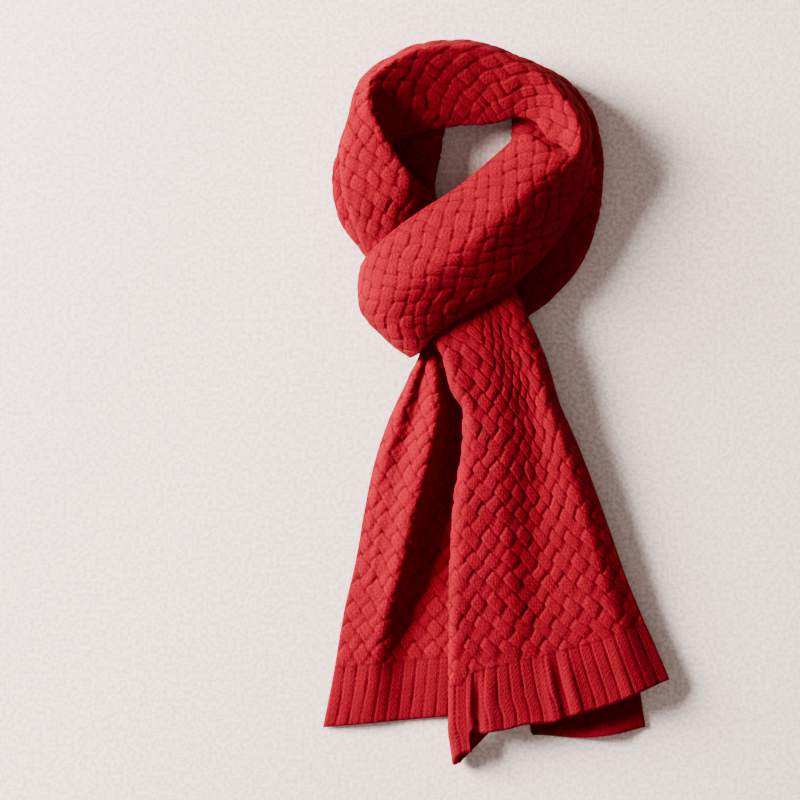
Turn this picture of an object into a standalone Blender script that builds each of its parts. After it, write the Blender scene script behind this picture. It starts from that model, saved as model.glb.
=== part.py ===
"""Knit scarf, tied in a looped knot and laid flat, in metres with +Z up.

The scarf is one long strip of thick basket-cable knit with a ribbed band at each
end. It is doubled, laid round in a neck loop, and both tails pass under the bend,
which wraps over them. The tables give the lie of the cloth in millimetres, one row
for each cross-section along the strip, in a frame whose X axis runs across the
scarf, whose Y axis runs up towards the neck loop and whose Z axis starts on the
surface that it lies on.
"""
import math

import bmesh
import bpy
import numpy as np
from mathutils.bvhtree import BVHTree

MM = 0.001

# ---------------------------------------------------------------- driving sizes, mm
WALL = 3.6            # thickness of the cabled knit
LAYER_GAP = 0.5       # air between two layers of one folded tail
STACK = WALL + LAYER_GAP
STEPS_ALONG = 2       # lofted sections for each row of a table
EDGE_INSET = 5.0      # how far a bundle's underside is drawn in from its widest line
RIM = 2.5             # least thickness of the knot's band, at its edges
LIE = 1.6             # air between the front tail and what it lies on
DRAPE_SLOPE = 0.45    # steepest fall of a layer off the one that it lies on
RISE_SHARE = 0.07     # share of the width before the inner fold where the rise ends
LOWER_TO = 0.975      # share of the front tail's width that its lower half reaches
DRAPE_STEPS = 24      # places across a row where what lies below is felt
LOWER_STEPS = 8       # columns of the front tail's lower half
ROLL_STEPS = 7        # steps round the front tail's rolled fold
UPPER_STEPS = 11      # columns of the front tail's upper half
SHOULDER_AT = 0.55    # place of the collar's shoulder from its outer edge to its crest
SHOULDER_RISE = 3.0   # how far the shoulder stands above the straight line
SLOPE_SAG = 1.0       # how far the collar's inner slope sags below the straight line
BAND_SHOULDER_AT = 0.4              # place of the band's shoulders, from edge to middle
BAND_FULLNESS = 2.5                 # how far the shoulders stand out of the band
LIFT_LEAN = 1.5                     # how far the bottom layer's rise leans to the right
FLAT_TURN = 60.0                    # turn past which the band lies flat, without fullness
BAND_INWARDS = np.array((0.885, 0.466, 0.0))    # across the half-turn, into the scarf
# Plan offsets round a point within which the layer below is felt.
REACH = ((0, 0), (9, 0), (-9, 0), (0, 11), (0, -11), (6, 7), (-6, 7), (6, -7), (-6, -7))

WOOL_RED = (0.56, 0.018, 0.030, 1.0)
RIB_RED = (0.50, 0.014, 0.025, 1.0)

# ---------------------------------------------------------------- the neck loop, mm
# The lower turn of the neck loop, from under the knot on the left, round the top and
# down the right side to under the tails. outer and inner are the plan points of its
# edges, base is its underside and top its upper face.
UNDER_COLUMNS = ("outer_x", "outer_y", "inner_x", "inner_y", "base", "top")
UNDER_ROWS = (
    (-79.5, 81.0, -20.0, 124.0, 13.0, 24.0),
    (-88.0, 97.0, -35.0, 138.0, 13.0, 24.0),
    (-99.0, 112.0, -44.0, 151.0, 9.0, 22.5),
    (-113.5, 130.0, -45.5, 162.0, 0.0, 21.5),
    (-120.5, 148.0, -44.0, 172.0, 0.0, 21.0),
    (-122.5, 168.0, -41.5, 183.0, 0.0, 21.0),
    (-116.5, 195.0, -39.0, 200.0, 0.0, 21.0),
    (-105.0, 225.0, -35.0, 213.0, 0.0, 21.0),
    (-84.0, 247.0, -24.0, 223.0, 0.0, 21.0),
    (-51.0, 262.0, -13.0, 227.0, 0.0, 21.0),
    (-12.0, 263.0, -3.0, 226.0, 0.0, 21.0),
    (28.0, 254.5, 7.0, 221.0, 0.0, 21.0),
    (57.0, 238.0, 12.0, 213.0, 0.0, 21.0),
    (74.6, 212.0, 12.0, 202.0, 0.0, 21.0),
    (80.6, 180.0, 8.0, 186.0, 0.0, 21.0),
    (79.0, 151.0, 2.0, 167.0, 0.0, 20.5),
    (67.0, 109.0, -5.0, 145.0, 0.0, 18.0),
    (40.0, 76.0, -10.0, 133.0, 0.0, 11.5),
    (8.0, 54.0, -14.0, 126.0, 0.0, 10.0),
)

# Its section from the outer edge to the inner one, as a share of the width and of the
# height. The grooves at both edges part the two layers that are folded together.
UNDER_PROFILE = ((0.0, 0.20), (0.035, 0.46), (0.0, 0.72), (0.055, 0.94), (0.22, 1.0),
                 (0.50, 0.96), (0.78, 1.0), (0.945, 0.94), (1.0, 0.72), (0.965, 0.46),
                 (1.0, 0.20))

# The upper turn of the neck loop, from under the knot on the left to the right side,
# where the band of the knot goes on. Its crest stands at the inner edge on the left
# and at the outer edge round the top, like a turned-up collar.
OVER_COLUMNS = ("outer_x", "outer_y", "outer_z", "crest_x", "crest_y", "crest_z",
                "inner_x", "inner_y", "inner_z", "base")
OVER_ROWS = (
    (-74.0, 75.0, 30.0, -45.0, 96.0, 36.0, -14.0, 117.0, 30.0, 25.4),
    (-84.0, 95.0, 31.5, -57.0, 114.0, 36.5, -30.0, 132.0, 31.0, 25.4),
    (-96.5, 112.0, 34.0, -66.0, 130.0, 39.0, -44.0, 147.0, 33.0, 24.6),
    (-104.0, 130.0, 37.0, -65.0, 147.0, 46.0, -47.0, 154.0, 36.0, 23.0),
    (-109.0, 144.0, 40.0, -64.0, 162.0, 53.0, -54.0, 160.5, 38.0, 22.0),
    (-115.0, 166.0, 42.0, -71.0, 176.0, 55.0, -64.0, 170.0, 38.0, 22.0),
    (-115.5, 184.0, 43.0, -80.5, 191.0, 56.0, -73.0, 181.5, 36.0, 22.0),
    (-111.5, 203.0, 44.0, -87.0, 205.0, 57.0, -77.0, 192.5, 30.0, 22.0),
    (-107.0, 224.0, 45.0, -92.5, 222.0, 57.0, -67.0, 198.5, 27.0, 22.0),
    (-100.5, 240.0, 45.0, -91.5, 236.0, 57.0, -55.0, 202.0, 26.0, 22.0),
    (-83.0, 253.0, 45.0, -78.0, 247.0, 57.0, -42.0, 204.5, 25.5, 22.0),
    (-54.0, 266.2, 44.5, -51.0, 259.0, 57.0, -26.0, 207.0, 25.5, 22.0),
    (-20.0, 268.4, 42.5, -19.0, 260.0, 55.0, -10.0, 207.5, 26.0, 22.0),
    (12.0, 258.2, 39.5, 9.0, 250.0, 52.0, 4.0, 209.5, 27.0, 22.0),
    (38.0, 247.0, 36.5, 32.0, 240.0, 49.5, 15.0, 212.5, 28.0, 22.0),
    (57.0, 228.0, 34.0, 49.0, 222.0, 48.0, 28.0, 209.5, 31.0, 22.0),
    (69.0, 209.0, 32.0, 59.0, 206.0, 48.0, 35.5, 198.5, 35.0, 22.0),
    (72.0, 193.0, 30.0, 61.0, 191.0, 48.5, 46.0, 188.3, 38.0, 22.0),
)

# The band of the knot: from the right side over both tails, round a half-turn on the
# left, and back flat under the tails. low is its lower edge, high its upper edge.
# turn is the direction, in degrees, in which the bundle's thickness is laid off: -90
# is straight down, 0 is inwards at the half-turn and 90 is straight up.
BAND_COLUMNS = ("low_x", "low_y", "low_z", "mid_x", "mid_y", "mid_z",
                "high_x", "high_y", "high_z", "thick", "turn")
BAND_ROWS = (
    (72.0, 192.4, 26.0, 61.0, 190.3, 48.5, 46.2, 187.5, 38.0, 8.0, -90.0),
    (71.5, 180.0, 25.0, 60.0, 183.5, 49.0, 42.0, 188.7, 39.0, 7.0, -90.0),
    (70.3, 169.0, 25.0, 54.0, 178.5, 50.5, 33.5, 193.5, 41.0, 7.0, -90.0),
    (68.5, 162.0, 25.0, 46.0, 174.5, 52.5, 20.0, 200.5, 42.5, 12.0, -90.0),
    (63.5, 152.0, 26.0, 32.0, 164.5, 55.5, 3.0, 188.0, 43.5, 16.0, -90.0),
    (54.0, 132.0, 29.0, 15.0, 147.0, 60.0, -14.0, 173.0, 45.5, 21.0, -90.0),
    (32.0, 104.0, 36.0, -6.0, 127.0, 63.0, -34.0, 157.0, 47.0, 24.0, -90.0),
    (2.0, 79.0, 40.5, -31.0, 107.0, 63.5, -56.0, 143.5, 50.0, 24.0, -90.0),
    (-27.0, 62.0, 40.5, -57.0, 91.0, 62.0, -77.0, 128.0, 49.0, 22.0, -85.0),
    (-46.0, 49.0, 40.0, -77.0, 79.0, 57.0, -91.0, 116.0, 46.0, 17.0, -65.0),
    (-57.5, 36.5, 38.0, -94.0, 70.0, 44.0, -98.5, 107.0, 38.0, 12.0, -35.0),
    (-64.0, 33.0, 22.0, -100.5, 67.0, 27.0, -101.5, 102.0, 24.0, 11.0, 0.0),
    (-61.0, 37.0, 7.0, -93.0, 69.0, 9.0, -95.0, 101.0, 10.0, 11.0, 35.0),
    (-46.0, 42.0, 0.5, -74.0, 73.0, 0.0, -84.0, 103.0, 1.0, 12.0, 80.0),
    (-26.0, 46.0, 0.0, -46.0, 80.0, 0.0, -58.0, 114.0, 0.0, 12.0, 90.0),
    (6.6, 53.6, 0.0, -4.4, 89.5, 0.0, -15.4, 125.5, 0.0, 10.0, 90.0),
)

# ---------------------------------------------------------------- the tails, mm
# The back tail is folded in a Z under the front one: the top layer runs from its left
# edge to the right fold, the middle layer back to the inner fold, and the bottom layer
# out to its own right edge. The soft folds that show are given by their places, as
# shares of the top layer's width, and by the heights of its upper face: a strip at the
# left edge, a crease, a ridge, a valley and the rise beyond it. The bottom layer is drawn
# down by bow at the middle of its width, and stands clear of the surface by lift.
BACK_COLUMNS = ("left_x", "left_y", "right_x", "right_y", "inner_x", "inner_y",
                "end_x", "end_y", "base", "strip_z", "crease_at", "crease_z",
                "ridge_at", "ridge_z", "valley_at", "valley_z", "rise_z", "bow", "lift")
BACK_ROWS = (
    (-82.4, 78.2, -25.0, 119.0, -60.0, 94.0, -20.4, 122.4,
     13.0, 24.8, 0.12, 24.8, 0.25, 24.8, 0.44, 24.8, 24.8, 0.0, 0.0),
    (-70.0, 61.0, -12.0, 103.0, -48.0, 77.0, -6.0, 107.0,
     13.0, 24.8, 0.12, 24.8, 0.25, 24.8, 0.44, 24.8, 24.8, 0.0, 0.0),
    (-54.0, 46.0, 2.0, 87.0, -35.0, 61.0, 7.0, 90.0,
     13.0, 24.8, 0.12, 24.6, 0.24, 24.9, 0.42, 24.8, 24.8, 0.0, 0.0),
    (-58.5, 31.0, 12.0, 68.0, -22.0, 51.0, 17.0, 70.0,
     12.6, 23.0, 0.11, 21.0, 0.20, 26.0, 0.38, 22.5, 23.0, 0.0, 0.0),
    (-64.0, 21.0, 17.0, 53.0, -17.0, 38.0, 22.5, 55.0,
     11.2, 21.5, 0.12, 19.0, 0.23, 25.5, 0.38, 18.0, 19.0, 0.0, 0.0),
    (-69.4, 10.1, 22.0, 38.0, -12.0, 26.0, 28.0, 40.0,
     8.2, 19.5, 0.14, 17.0, 0.26, 25.0, 0.39, 13.0, 14.0, 0.0, 0.0),
    (-79.1, -10.9, 31.0, 5.0, -4.0, -1.0, 37.0, 6.0,
     3.0, 17.0, 0.15, 14.5, 0.32, 25.0, 0.43, 8.0, 9.0, 0.0, 0.0),
    (-90.4, -43.9, 45.0, -36.0, 4.0, -42.0, 51.0, -36.0,
     0.0, 13.5, 0.12, 13.0, 0.29, 24.5, 0.39, 4.0, 5.0, 0.0, 0.0),
    (-98.6, -82.1, 59.0, -76.0, 11.0, -84.0, 67.0, -77.0,
     0.0, 9.0, 0.10, 13.0, 0.235, 23.5, 0.32, 3.8, 4.0, 0.0, 0.0),
    (-104.6, -117.4, 71.0, -110.0, 16.0, -121.0, 80.0, -114.0,
     0.0, 8.0, 0.09, 12.0, 0.20, 21.5, 0.275, 3.8, 4.2, 0.0, 0.0),
    (-113.9, -157.1, 84.0, -144.0, 21.0, -163.0, 94.0, -154.0,
     0.0, 7.0, 0.08, 10.0, 0.165, 16.5, 0.25, 4.0, 7.5, 0.0, 0.0),
    (-120.6, -197.6, 93.0, -177.6, 25.0, -203.4, 105.0, -197.0,
     0.0, 6.0, 0.07, 7.5, 0.14, 10.0, 0.24, 4.5, 9.0, 0.0, 0.0),
)
BACK_RIB_ROWS = (
    (-120.7, -198.0, 93.1, -178.0, 25.0, -203.8, 105.1, -197.4,
     0.0, 6.0, 0.07, 7.5, 0.14, 10.0, 0.24, 4.5, 9.0, 0.0, 0.0),
    (-125.0, -221.0, 96.0, -200.0, 26.5, -226.5, 109.0, -220.0,
     0.0, 5.5, 0.07, 6.5, 0.14, 8.5, 0.26, 4.5, 7.5, 0.5, 0.0),
    (-127.5, -233.5, 97.4, -212.0, 27.2, -239.0, 110.8, -232.4,
     0.0, 5.2, 0.07, 6.2, 0.14, 7.6, 0.27, 4.5, 6.6, 2.0, 0.1),
    (-129.4, -243.0, 98.6, -222.0, 27.8, -248.6, 112.4, -242.5,
     0.0, 5.0, 0.07, 6.0, 0.14, 7.0, 0.28, 4.5, 6.0, 5.0, 7.0),
)

# The front tail is folded in half: a rolled fold on the left joins its upper layer to
# its lower one, which lies on the back tail. Its upper face stands at roll_z over the
# roll, at hump_z over the left half, at valley_z in a soft valley, at swell_z over the
# right half and at edge_z at the right edge. bow is how far a row is drawn up, near
# its left end, from the straight line between its two ends.
FRONT_COLUMNS = ("left_x", "left_y", "right_x", "right_y", "roll_z", "hump_z",
                 "valley_at", "valley_z", "swell_z", "edge_z", "bow")
FRONT_ROWS = (
    (-73.0, 74.2, -13.6, 116.0, 36.0, 36.0, 0.70, 36.0, 36.0, 35.0, 0.0),
    (-60.0, 58.5, 0.0, 100.0, 36.0, 36.0, 0.70, 36.0, 36.0, 35.0, 0.0),
    (-49.0, 47.0, 12.0, 87.0, 36.5, 36.0, 0.70, 35.5, 36.0, 34.0, 0.0),
    (-39.6, 33.4, 24.0, 63.0, 39.0, 38.0, 0.71, 34.5, 35.0, 31.5, 0.0),
    (-33.0, 11.1, 38.6, 29.6, 38.0, 36.5, 0.71, 31.5, 33.0, 27.5, 0.0),
    (-26.6, -6.4, 46.5, 2.0, 35.0, 34.5, 0.70, 28.5, 31.5, 24.5, 0.0),
    (-27.4, -30.4, 59.6, -27.4, 32.0, 32.5, 0.67, 26.0, 30.0, 22.0, 0.0),
    (-33.0, -63.4, 73.1, -61.9, 30.0, 30.5, 0.61, 24.0, 28.0, 20.0, 0.0),
    (-35.2, -100.0, 86.0, -98.0, 28.0, 28.5, 0.55, 22.5, 26.5, 18.5, 0.0),
    (-35.6, -135.0, 97.6, -131.0, 26.5, 26.5, 0.51, 22.0, 25.0, 17.0, 1.0),
    (-35.6, -173.0, 104.6, -148.0, 24.0, 24.5, 0.48, 21.5, 24.0, 16.0, 3.0),
    (-35.6, -210.6, 111.4, -164.0, 21.0, 23.0, 0.48, 21.5, 23.0, 15.5, 5.0),
)
FRONT_RIB_ROWS = (
    (-35.6, -211.0, 111.5, -164.4, 21.0, 23.0, 0.48, 21.5, 23.0, 15.5, 5.0),
    (-35.6, -239.0, 120.8, -185.0, 18.5, 22.5, 0.48, 21.5, 22.5, 15.0, 8.0),
    (-33.0, -270.0, 129.6, -206.0, 16.0, 22.0, 0.48, 21.5, 22.0, 14.5, 14.5),
)
# How a row of the front tail bows, by share of its width: the rolled fold on the left
# hangs lower than the cloth beside it.
BOW_KNOTS = ((0.0, 0.40), (0.045, -0.12), (0.085, -0.20), (0.115, 0.85), (0.17, 0.93),
             (0.31, 0.65), (0.50, 0.16), (0.74, -0.07), (1.0, 0.0))
HUMP_AT = 0.30        # shares of the width where the front tail's two halves are highest
SWELL_AT = 0.86

# Soft pleats of the front tail's ribbed end: place across it, height and half-width.
RIB_PLEATS = ((0.115, 2.0, 0.024), (0.205, 1.8, 0.030), (0.49, 2.2, 0.026),
              (0.585, 2.0, 0.028), (0.82, 1.4, 0.030))


# ---------------------------------------------------------------- shared geometry
def smooth_rows(rows, steps):
    """Rows between the table's rows, on smooth curves that never pass a row's value."""
    table = np.array(rows, dtype=float)
    slopes = np.diff(table, axis=0)
    before, after = slopes[:-1], slopes[1:]
    inner = np.where(before * after > 0.0, 2 * before * after / (before + after + 1e-12), 0.0)
    tangents = np.vstack((slopes[0], inner, slopes[-1]))
    result = []
    for index in range(len(table) - 1):
        start, end = table[index], table[index + 1]
        leave, arrive = tangents[index], tangents[index + 1]
        for step in range(steps):
            t = step / steps
            result.append(start * (2 * t ** 3 - 3 * t ** 2 + 1) + leave * (t ** 3 - 2 * t ** 2 + t)
                          + end * (3 * t ** 2 - 2 * t ** 3) + arrive * (t ** 3 - t ** 2))
    result.append(table[-1])
    return result


def curve_through(points, count):
    """Evenly spaced points on a Catmull-Rom curve through a few 3-D points."""
    knots = np.array(points, dtype=float)
    padded = np.vstack((2 * knots[0] - knots[1], knots, 2 * knots[-1] - knots[-2]))
    dense = []
    for index in range(len(knots) - 1):
        before, start, end, after = padded[index:index + 4]
        for t in np.linspace(0.0, 1.0, 12, endpoint=False):
            dense.append(0.5 * (2 * start + (end - before) * t
                                + (2 * before - 5 * start + 4 * end - after) * t ** 2
                                + (3 * start - before - 3 * end + after) * t ** 3))
    dense = np.array((*dense, knots[-1]))
    travel = np.concatenate(([0.0], np.cumsum(np.linalg.norm(np.diff(dense, axis=0), axis=1))))
    places = np.linspace(0.0, travel[-1], count)
    return np.column_stack([np.interp(places, travel, dense[:, axis]) for axis in range(3)])


def blend(start, end, share):
    return np.array(start) * (1.0 - share) + np.array(end) * share


def smoothstep(value):
    value = min(max(value, 0.0), 1.0)
    return value * value * (3.0 - 2.0 * value)


def blend_heights(share, knots):
    """Height at a share of the width, easing from knot to knot (share, height)."""
    for (low_at, low), (high_at, high) in zip(knots, knots[1:]):
        if share <= high_at:
            return low + (high - low) * smoothstep((share - low_at) / (high_at - low_at))
    return knots[-1][1]


def knit_material(name, colour):
    material = bpy.data.materials.get(name) or bpy.data.materials.new(name)
    material.use_nodes = True
    shader = material.node_tree.nodes["Principled BSDF"]
    shader.inputs["Base Color"].default_value = colour
    shader.inputs["Roughness"].default_value = 0.92
    shader.inputs["Metallic"].default_value = 0.0
    return material


def closed_piece(name, upper, lower, colour):
    """A closed solid between two grids of points that share their rows and columns."""
    upper = np.array(upper) * MM
    lower = np.array(lower) * MM
    upper[..., 2] = np.maximum(upper[..., 2], 0.0)
    lower[..., 2] = np.maximum(lower[..., 2], 0.0)
    rows, columns = upper.shape[:2]
    mesh = bmesh.new()
    top = [[mesh.verts.new(point) for point in row] for row in upper]
    bottom = [[mesh.verts.new(point) for point in row] for row in lower]
    for row in range(rows - 1):
        for column in range(columns - 1):
            mesh.faces.new((top[row][column], top[row][column + 1],
                            top[row + 1][column + 1], top[row + 1][column]))
            mesh.faces.new((bottom[row][column], bottom[row + 1][column],
                            bottom[row + 1][column + 1], bottom[row][column + 1]))
    for row in range(rows - 1):
        for column in (0, columns - 1):
            mesh.faces.new((top[row][column], top[row + 1][column],
                            bottom[row + 1][column], bottom[row][column]))
    for column in range(columns - 1):
        for row in (0, rows - 1):
            mesh.faces.new((top[row][column], bottom[row][column],
                            bottom[row][column + 1], top[row][column + 1]))
    bmesh.ops.triangulate(mesh, faces=mesh.faces[:])
    bmesh.ops.recalc_face_normals(mesh, faces=mesh.faces[:])
    if mesh.calc_volume(signed=True) < 0:
        bmesh.ops.reverse_faces(mesh, faces=mesh.faces[:])
    data = bpy.data.meshes.new(name)
    mesh.to_mesh(data)
    mesh.free()
    data.shade_smooth()
    data.set_sharp_from_angle(angle=math.radians(50))
    data.materials.append(knit_material(name + "_knit", colour))
    piece = bpy.data.objects.new(name, data)
    bpy.context.scene.collection.objects.link(piece)
    return piece


def wall_from_midline(midline, along):
    """Upper and lower points of a wall of the cloth's thickness about its midline."""
    tangent = np.gradient(midline, axis=0)
    normal = np.cross(along, tangent)
    normal /= np.linalg.norm(normal, axis=1)[:, None]
    return midline + normal * WALL / 2, midline - normal * WALL / 2


# ---------------------------------------------------------------- neck loop pieces
def drawn_in(edge, towards, height):
    """The edge's plan point moved inwards to where the bundle's underside begins."""
    inwards = np.array(towards[:2]) - np.array(edge[:2])
    inwards /= np.linalg.norm(inwards)
    point = np.array(edge[:2]) + inwards * EDGE_INSET
    return (point[0], point[1], height)


def under_section(row):
    cell = dict(zip(UNDER_COLUMNS, row))
    outer = np.array((cell["outer_x"], cell["outer_y"]))
    inner = np.array((cell["inner_x"], cell["inner_y"]))
    across = inner - outer
    height = cell["top"] - cell["base"]

    def point(share, level):
        return (*(outer + across * share), cell["base"] + height * level)

    first = drawn_in(outer, inner, cell["base"])
    last = drawn_in(inner, outer, cell["base"])
    upper = np.array([first, *(point(*place) for place in UNDER_PROFILE), last])
    lower = np.linspace(first, last, len(upper) + 2)[1:-1]
    return upper, lower


def over_section(row, count=14):
    cell = dict(zip(OVER_COLUMNS, row))
    outer = (cell["outer_x"], cell["outer_y"], cell["outer_z"])
    crest = (cell["crest_x"], cell["crest_y"], cell["crest_z"])
    inner = (cell["inner_x"], cell["inner_y"], cell["inner_z"])
    first = drawn_in(outer, inner, cell["base"])
    last = drawn_in(inner, outer, cell["base"])
    shoulder = blend(outer, crest, SHOULDER_AT) + (0.0, 0.0, SHOULDER_RISE)
    slope = blend(inner, crest, 0.5) - (0.0, 0.0, SLOPE_SAG)
    upper = curve_through([first, outer, shoulder, crest, slope, inner, last], count)
    lower = np.linspace(first, last, count + 2)[1:-1]
    return upper, lower


def loop_piece(name, rows, section, colour):
    pairs = [section(row) for row in smooth_rows(rows, STEPS_ALONG)]
    uppers, lowers = zip(*pairs)
    return closed_piece(name, uppers, lowers, colour)


def band_piece(name, count, colour):
    """The knot's band, whose thickness is laid off from its outer face."""
    uppers = []
    lowers = []
    for row in smooth_rows(BAND_ROWS, STEPS_ALONG):
        cell = dict(zip(BAND_COLUMNS, row))
        low = np.array((cell["low_x"], cell["low_y"], cell["low_z"]))
        mid = np.array((cell["mid_x"], cell["mid_y"], cell["mid_z"]))
        high = np.array((cell["high_x"], cell["high_y"], cell["high_z"]))
        angle = math.radians(cell["turn"])
        depth = BAND_INWARDS * math.cos(angle) + np.array((0.0, 0.0, math.sin(angle)))
        fullness_out = 0.0 if cell["turn"] > FLAT_TURN else BAND_FULLNESS
        near_low = blend(low, mid, BAND_SHOULDER_AT) - depth * fullness_out
        near_high = blend(high, mid, BAND_SHOULDER_AT) - depth * fullness_out
        outer = curve_through([low, near_low, mid, near_high, high], count)
        share = np.linspace(-1.0, 1.0, count)
        rounding = np.sqrt(np.clip(1.0 - np.abs(share) ** 3, 0.0, 1.0))
        room = cell["thick"] + (mid - outer) @ depth
        laid = np.maximum(np.minimum(cell["thick"] * rounding, room), RIM)
        uppers.append(outer)
        lowers.append(outer + depth * laid[:, None])
    return closed_piece(name, uppers, lowers, colour)


# ---------------------------------------------------------------- tail pieces
def fold_points(corner, outwards, upper_z, lower_z, count):
    """The half-round turn of a fold between two layers, beyond its plan corner."""
    radius = (upper_z - lower_z) / 2
    middle = (upper_z + lower_z) / 2
    points = []
    for index in range(1, count):
        angle = math.pi * index / count
        plan = corner + outwards * abs(radius) * math.sin(angle)
        points.append((*plan, middle + radius * math.cos(angle)))
    return points


def layer_points(start, end, height_at, count):
    """Points along one flat layer of a fold, with its midline's height by share."""
    points = []
    for index in range(count + 1):
        share = index / count
        points.append((*(start + (end - start) * share), height_at(share)))
    return points


def unit(vector):
    return vector / np.linalg.norm(vector)


def back_midline(cell):
    left = np.array((cell["left_x"], cell["left_y"]))
    right = np.array((cell["right_x"], cell["right_y"]))
    inner = np.array((cell["inner_x"], cell["inner_y"]))
    end = np.array((cell["end_x"], cell["end_y"]))
    bottom = cell["base"] + WALL / 2
    top = bottom + 2 * STACK
    inner_share = np.dot(inner - left, unit(right - left)) / np.linalg.norm(right - left)
    half = WALL / 2
    climbed = inner_share - RISE_SHARE
    rise_at = cell["valley_at"] * 0.5 + climbed * 0.5
    knots = ((0.0, bottom + 0.4), (cell["crease_at"] * 0.5, cell["strip_z"] - half),
             (cell["crease_at"], cell["crease_z"] - half),
             (cell["ridge_at"], cell["ridge_z"] - half),
             (cell["valley_at"], cell["valley_z"] - half),
             (rise_at, cell["rise_z"] - half), (climbed, top), (1.0, top))
    knots = [(place, max(height, bottom)) for place, height in knots]
    fold = STACK / 2
    right_side = right - unit(right - left) * fold
    inner_side = inner + unit(right - inner) * fold
    points = layer_points(left, right_side, lambda share: blend_heights(share, knots), 16)
    points += fold_points(right_side, unit(right - inner), top, top - STACK, 5)
    points += layer_points(right_side, inner_side, lambda share: top - STACK, 4)
    points += fold_points(inner_side, unit(inner - right), top - STACK, bottom, 5)
    last_layer = layer_points(inner_side, end, lambda share: bottom, 5)
    down = unit(np.array((end - inner_side)[::-1]) * (1.0, -1.0))
    for index, point in enumerate(last_layer):
        share = index / (len(last_layer) - 1)
        plan = np.array(point[:2]) + down * cell["bow"] * math.sin(math.pi * share)
        rise = cell["lift"] * math.sin(math.pi * share ** LIFT_LEAN) ** 2
        points.append((*plan, point[2] + rise))
    return np.array(points), unit(right - left)


def surface_below(pieces):
    """A function of a plan point: the highest surface of the pieces close around it."""
    trees = [BVHTree.FromPolygons([vertex.co for vertex in piece.data.vertices],
                                  [face.vertices for face in piece.data.polygons])
             for piece in pieces]

    def height_at(plan):
        best = 0.0
        for shift_x, shift_y in REACH:
            start = ((plan[0] + shift_x) * MM, (plan[1] + shift_y) * MM, 1.0)
            for tree in trees:
                hit = tree.ray_cast(start, (0.0, 0.0, -1.0))[0]
                if hit is not None:
                    best = max(best, hit.z / MM)
        return best

    return height_at


def draped(plans, height_at):
    """Heights of a layer that lies on what is below it and falls off it gently."""
    heights = [height_at(plan) for plan in plans]
    order = list(range(1, len(plans)))
    for here, last in [(i, i - 1) for i in order] + [(i - 1, i) for i in reversed(order)]:
        run = np.linalg.norm(plans[here] - plans[last])
        heights[here] = max(heights[here], heights[last] - DRAPE_SLOPE * run)
    return heights


def front_midline(cell, height_at, ribbed):
    left = np.array((cell["left_x"], cell["left_y"]))
    right = np.array((cell["right_x"], cell["right_y"]))
    across = unit(right - left)
    half = WALL / 2
    towards_loop = np.array((-across[1], across[0]))

    def plan_at(share):
        bow = cell["bow"] * blend_heights(share, BOW_KNOTS)
        return left + (right - left) * share + towards_loop * bow

    lower_shares = np.linspace(0.0, LOWER_TO, DRAPE_STEPS)
    rests = draped([plan_at(share) for share in lower_shares], height_at)
    rests = [rest + LIE + half for rest in rests]

    roll_top = cell["roll_z"] - half
    radius = (roll_top - rests[0]) / 2
    turn_share = (radius + half) / np.linalg.norm(right - left)
    high_knots = ((0.0, roll_top), (HUMP_AT, cell["hump_z"] - half),
                  (cell["valley_at"], cell["valley_z"] - half),
                  (SWELL_AT, cell["swell_z"] - half), (1.0, cell["edge_z"] - half))

    points = []
    for share in np.linspace(LOWER_TO, turn_share, LOWER_STEPS):
        points.append((*plan_at(share), np.interp(share, lower_shares, rests)))
    start_z = points[-1][2]
    points += fold_points(plan_at(turn_share), -across, start_z, roll_top, ROLL_STEPS)
    for share in np.linspace(turn_share, 1.0, UPPER_STEPS):
        height = blend_heights(share, high_knots)
        if ribbed:
            for place, rise, spread in RIB_PLEATS:
                height += rise * math.exp(-((share - place) / spread) ** 2)
        height = max(height, np.interp(share, lower_shares, rests) + STACK)
        points.append((*plan_at(share), height))
    return np.array(points), across


def tail_piece(name, columns, rows, midline_of, colour):
    uppers = []
    lowers = []
    for row in smooth_rows(rows, STEPS_ALONG):
        midline, across = midline_of(dict(zip(columns, row)))
        along = np.array((across[1], -across[0], 0.0))
        upper, lower = wall_from_midline(midline, along)
        uppers.append(upper)
        lowers.append(lower)
    return closed_piece(name, uppers, lowers, colour)


def build():
    for item in list(bpy.context.scene.objects):
        bpy.data.objects.remove(item, do_unlink=True)
    loop_piece("neck_under", UNDER_ROWS, under_section, WOOL_RED)
    loop_piece("neck_over", OVER_ROWS, over_section, WOOL_RED)
    band_piece("knot_band", 13, WOOL_RED)
    back = tail_piece("back_tail", BACK_COLUMNS, BACK_ROWS, back_midline, WOOL_RED)
    back_rib = tail_piece("back_tail_rib", BACK_COLUMNS, BACK_RIB_ROWS, back_midline, RIB_RED)
    height_at = surface_below((back, back_rib))
    tail_piece("front_tail", FRONT_COLUMNS, FRONT_ROWS,
               lambda cell: front_midline(cell, height_at, False), WOOL_RED)
    tail_piece("front_tail_rib", FRONT_COLUMNS, FRONT_RIB_ROWS,
               lambda cell: front_midline(cell, height_at, True), RIB_RED)


build()
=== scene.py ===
"""Knit scarf tied in a looped knot, laid flat on a pale felt surface."""

import math

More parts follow.
